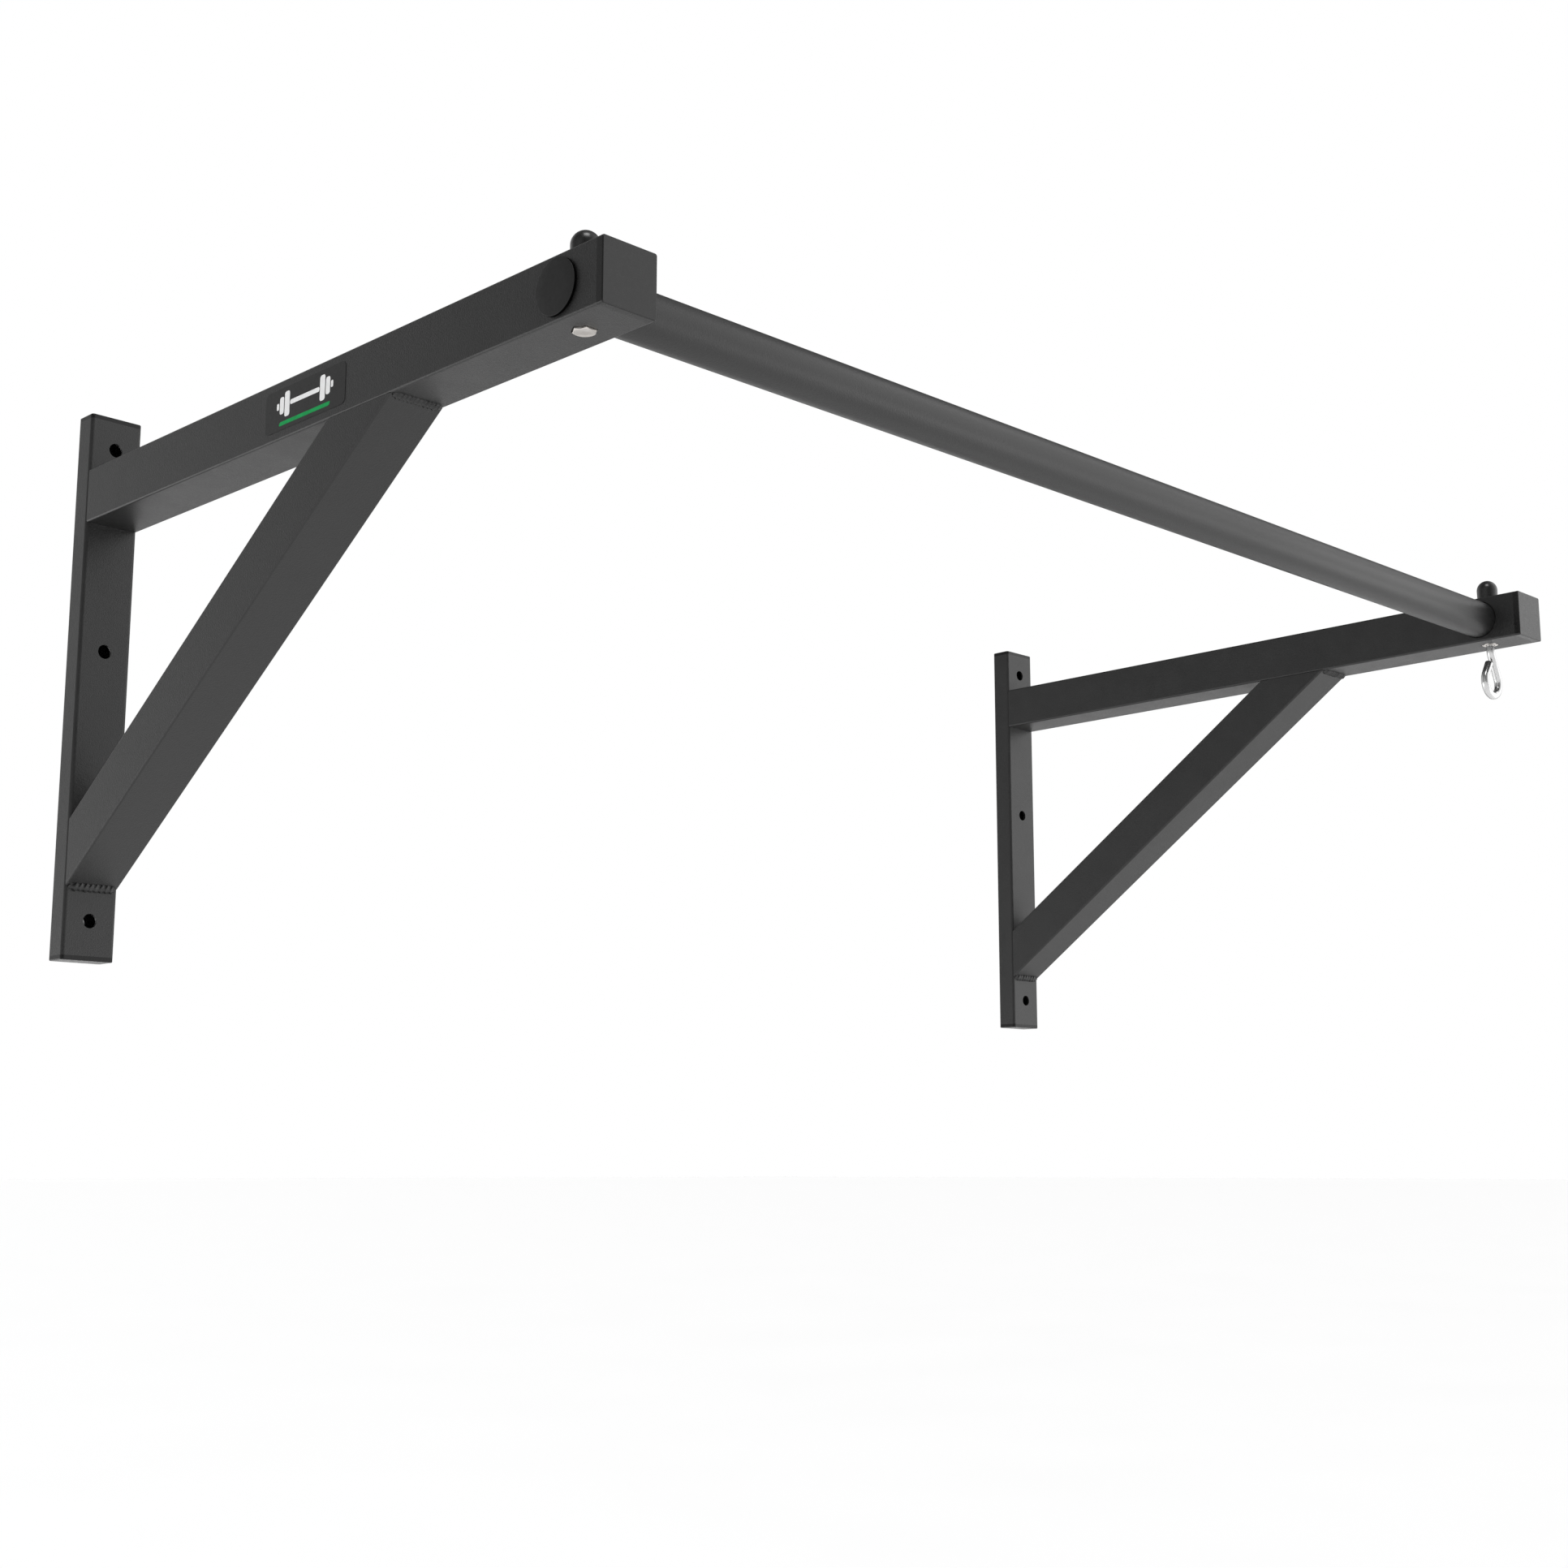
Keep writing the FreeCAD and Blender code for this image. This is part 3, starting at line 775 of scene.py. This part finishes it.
def rounded_outline(width, height, corner, centre, lean=0.0):
    """Rounded rectangle about centre, leaning by a share of its height."""
    outline = []
    for quarter in range(4):
        angle = quarter * math.pi / 2
        sign_x = 1 if quarter in (0, 3) else -1
        sign_y = 1 if quarter in (0, 1) else -1
        for k in range(OUTLINE_STEPS + 1):
            turn = angle + k * math.pi / 2 / OUTLINE_STEPS
            x = sign_x * (width / 2 - corner) + corner * math.cos(turn)
            y = sign_y * (height / 2 - corner) + corner * math.sin(turn)
            outline.append((centre[0] + x + lean * y, centre[1] + y))
    return outline


def make_plate_mark(light, accent):
    """A generic mark: a hand weight, and a green stroke under it."""
    shapes = {"handle": MARK_HANDLE}
    for side, sign in (("front", -1), ("back", 1)):
        for name, (width, height, corner, along) in MARK_WEIGHTS.items():
            shapes[side + "_" + name] = (width, height, corner, sign * along)
    for name, (width, height, corner, along) in shapes.items():
        outline = rounded_outline(width, height, corner, (along, MARK_RISE))
        print_on_plate("plate_mark_" + name, outline, light)
    stroke = rounded_outline(*MARK_STROKE, (0.0, MARK_STROKE_DROP), MARK_STROKE_LEAN)
    print_on_plate("plate_mark_stroke", stroke, accent)


# ------------------------------------------------------------------------------ studio, camera


def look_along(thing, direction):
    thing.rotation_mode = "QUATERNION"
    thing.rotation_quaternion = direction.to_track_quat("-Z", "Y")


def make_camera():
    data = bpy.data.cameras.new("camera")
    data.lens = CAMERA_LENS
    data.sensor_width = CAMERA_SENSOR
    camera = bpy.data.objects.new("camera", data)
    bpy.context.scene.collection.objects.link(camera)
    camera.location = CAMERA_PLACE
    level = Vector((-math.sin(CAMERA_TURN), math.cos(CAMERA_TURN), 0)) * math.cos(CAMERA_RISE)
    look_along(camera, level + Z_AXIS * math.sin(CAMERA_RISE))
    bpy.context.scene.camera = camera


def soft_light(name, place, aim, size, power):
    data = bpy.data.lights.new(name, "AREA")
    data.shape = "RECTANGLE"
    data.size, data.size_y = size
    data.energy = power
    light = bpy.data.objects.new(name, data)
    bpy.context.scene.collection.objects.link(light)
    light.location = place
    light.visible_camera = False
    look_along(light, Vector(aim) - Vector(place))
    return light


def make_world():
    """A plain white backdrop. The light it sheds on the object comes from a few soft lobes."""
    world = bpy.data.worlds.new("studio")
    bpy.context.scene.world = world
    world.use_nodes = True
    tree = world.node_tree

    def math_node(operation, first, second):
        node = tree.nodes.new("ShaderNodeMath")
        node.operation = operation
        tree.links.new(first, node.inputs[0])
        if isinstance(second, float):
            node.inputs[1].default_value = second
        else:
            tree.links.new(second, node.inputs[1])
        return node.outputs["Value"]

    direction = tree.nodes.new("ShaderNodeTexCoord").outputs["Generated"]
    base = tree.nodes.new("ShaderNodeValue")
    base.outputs["Value"].default_value = WORLD_BASE
    strength = base.outputs["Value"]
    for turn, rise, amount in WORLD_LOBES:
        turn, rise = math.radians(turn), math.radians(rise)
        out = math.cos(rise)
        towards = (math.sin(turn) * out, math.cos(turn) * out, math.sin(rise))
        facing = tree.nodes.new("ShaderNodeVectorMath")
        facing.operation = "DOT_PRODUCT"
        facing.inputs[1].default_value = towards
        tree.links.new(direction, facing.inputs[0])
        lobe = math_node("MAXIMUM", facing.outputs["Value"], 0.0)
        lobe = math_node("POWER", lobe, WORLD_LOBE_SHARPNESS)
        strength = math_node("ADD", math_node("MULTIPLY", lobe, amount), strength)
    seen = tree.nodes.new("ShaderNodeMix")
    seen.inputs["B"].default_value = 1.0
    camera_ray = tree.nodes.new("ShaderNodeLightPath").outputs["Is Camera Ray"]
    tree.links.new(camera_ray, seen.inputs["Factor"])
    tree.links.new(strength, seen.inputs["A"])
    tree.links.new(seen.outputs["Result"], tree.nodes["Background"].inputs["Strength"])
    tree.nodes["Background"].inputs["Color"].default_value = (1, 1, 1, 1)


def make_floor():
    """A wide plain floor, at its distance below the bar."""
    height = (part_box("pull_up_bar")[0].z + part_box("pull_up_bar")[1].z) / 2 - BAR_ABOVE_FLOOR
    mesh = bpy.data.meshes.new("studio_floor")
    half = FLOOR_SIZE / 2
    corners = [(x * half, y * half, height) for x, y in ((-1, -1), (1, -1), (1, 1), (-1, 1))]
    mesh.from_pydata(corners, [], [(0, 1, 2, 3)])
    mesh.materials.append(studio_floor("studio_floor"))
    floor = bpy.data.objects.new("studio_floor", mesh)
    bpy.context.scene.collection.objects.link(floor)
    return floor


def floor_collection(name, floor, link_state):
    """A collection that says whether a light reaches the floor."""
    collection = bpy.data.collections.new(name)
    collection.objects.link(floor)
    collection.collection_objects[0].light_linking.link_state = link_state
    return collection


def make_lights(floor):
    off_the_floor = floor_collection("off_the_floor", floor, "EXCLUDE")
    for name, place, aim, size, power, lights_floor in SOFT_LIGHTS:
        light = soft_light(name, place, aim, size, power)
        if not lights_floor:
            light.light_linking.receiver_collection = off_the_floor
    light_floor(floor)


def light_floor(floor):
    """Even light that reaches only the floor, so that it stays pale."""
    data = bpy.data.lights.new("floor_light", "SUN")
    data.energy = FLOOR_SUN_STRENGTH
    data.angle = FLOOR_SUN_ANGLE
    sun = bpy.data.objects.new("floor_light", data)
    bpy.context.scene.collection.objects.link(sun)
    sun.light_linking.receiver_collection = floor_collection("floor_only", floor, "INCLUDE")


make_camera()
make_world()
make_lights(make_floor())
bpy.context.scene.view_settings.view_transform = "Standard"

frame_coat = powder_coat("powder_coat", tone=0.011, roughness=0.38)
zinc_finish = zinc_plate("bright_zinc")
paint_cad_nodes(
    coat=frame_coat,
    grip=grip_coat("grip_powder_coat", tone=0.013, roughness=0.40),
    arm_caps=moulded_plastic("cap_plastic", 0.005, 0.30, grain=0.04 * MM, shine=0.42),
    # A darker, less shiny copy of the cap plastic, which paints shade on the uprights' caps.
    wall_caps_shaded_copy=moulded_plastic("wall_cap_plastic_shaded_copy", 0.004, 0.30, grain=0.04 * MM, shine=0.31),
    domes=moulded_plastic("dome_plastic", 0.012, 0.27, grain=0.006 * MM),
    zinc=zinc_finish,
    film=printed_film("plate_film", grey(0.006), grey(0.009), 0.38, shine=0.4),
)
make_hex_bolt(zinc_finish)
make_eye_bolt(polished_chrome("polished_chrome"), cut_steel("cut_steel"))
plug_face = moulded_plastic("plug_face_plastic", 0.009, 0.55, grain=0.03 * MM, shine=0.32)
# The plug's side wall: near black and almost without shine, a painted shadow.
plug_wall_painted_shadow = moulded_plastic("plug_side_wall_painted_shadow", 0.001, 0.80, grain=0.03 * MM, shine=0.03)
for bracket_side in SIDES:
    make_welds(bracket_side, frame_coat)
    make_bar_plug(bracket_side, plug_face, plug_wall_painted_shadow)
make_plate_mark(
    printed_film("mark_light", grey(0.92), grey(0.98), 0.45),
    printed_film("mark_green", (0.004, 0.30, 0.07), (0.006, 0.36, 0.09), 0.5, shine=0.15),
)
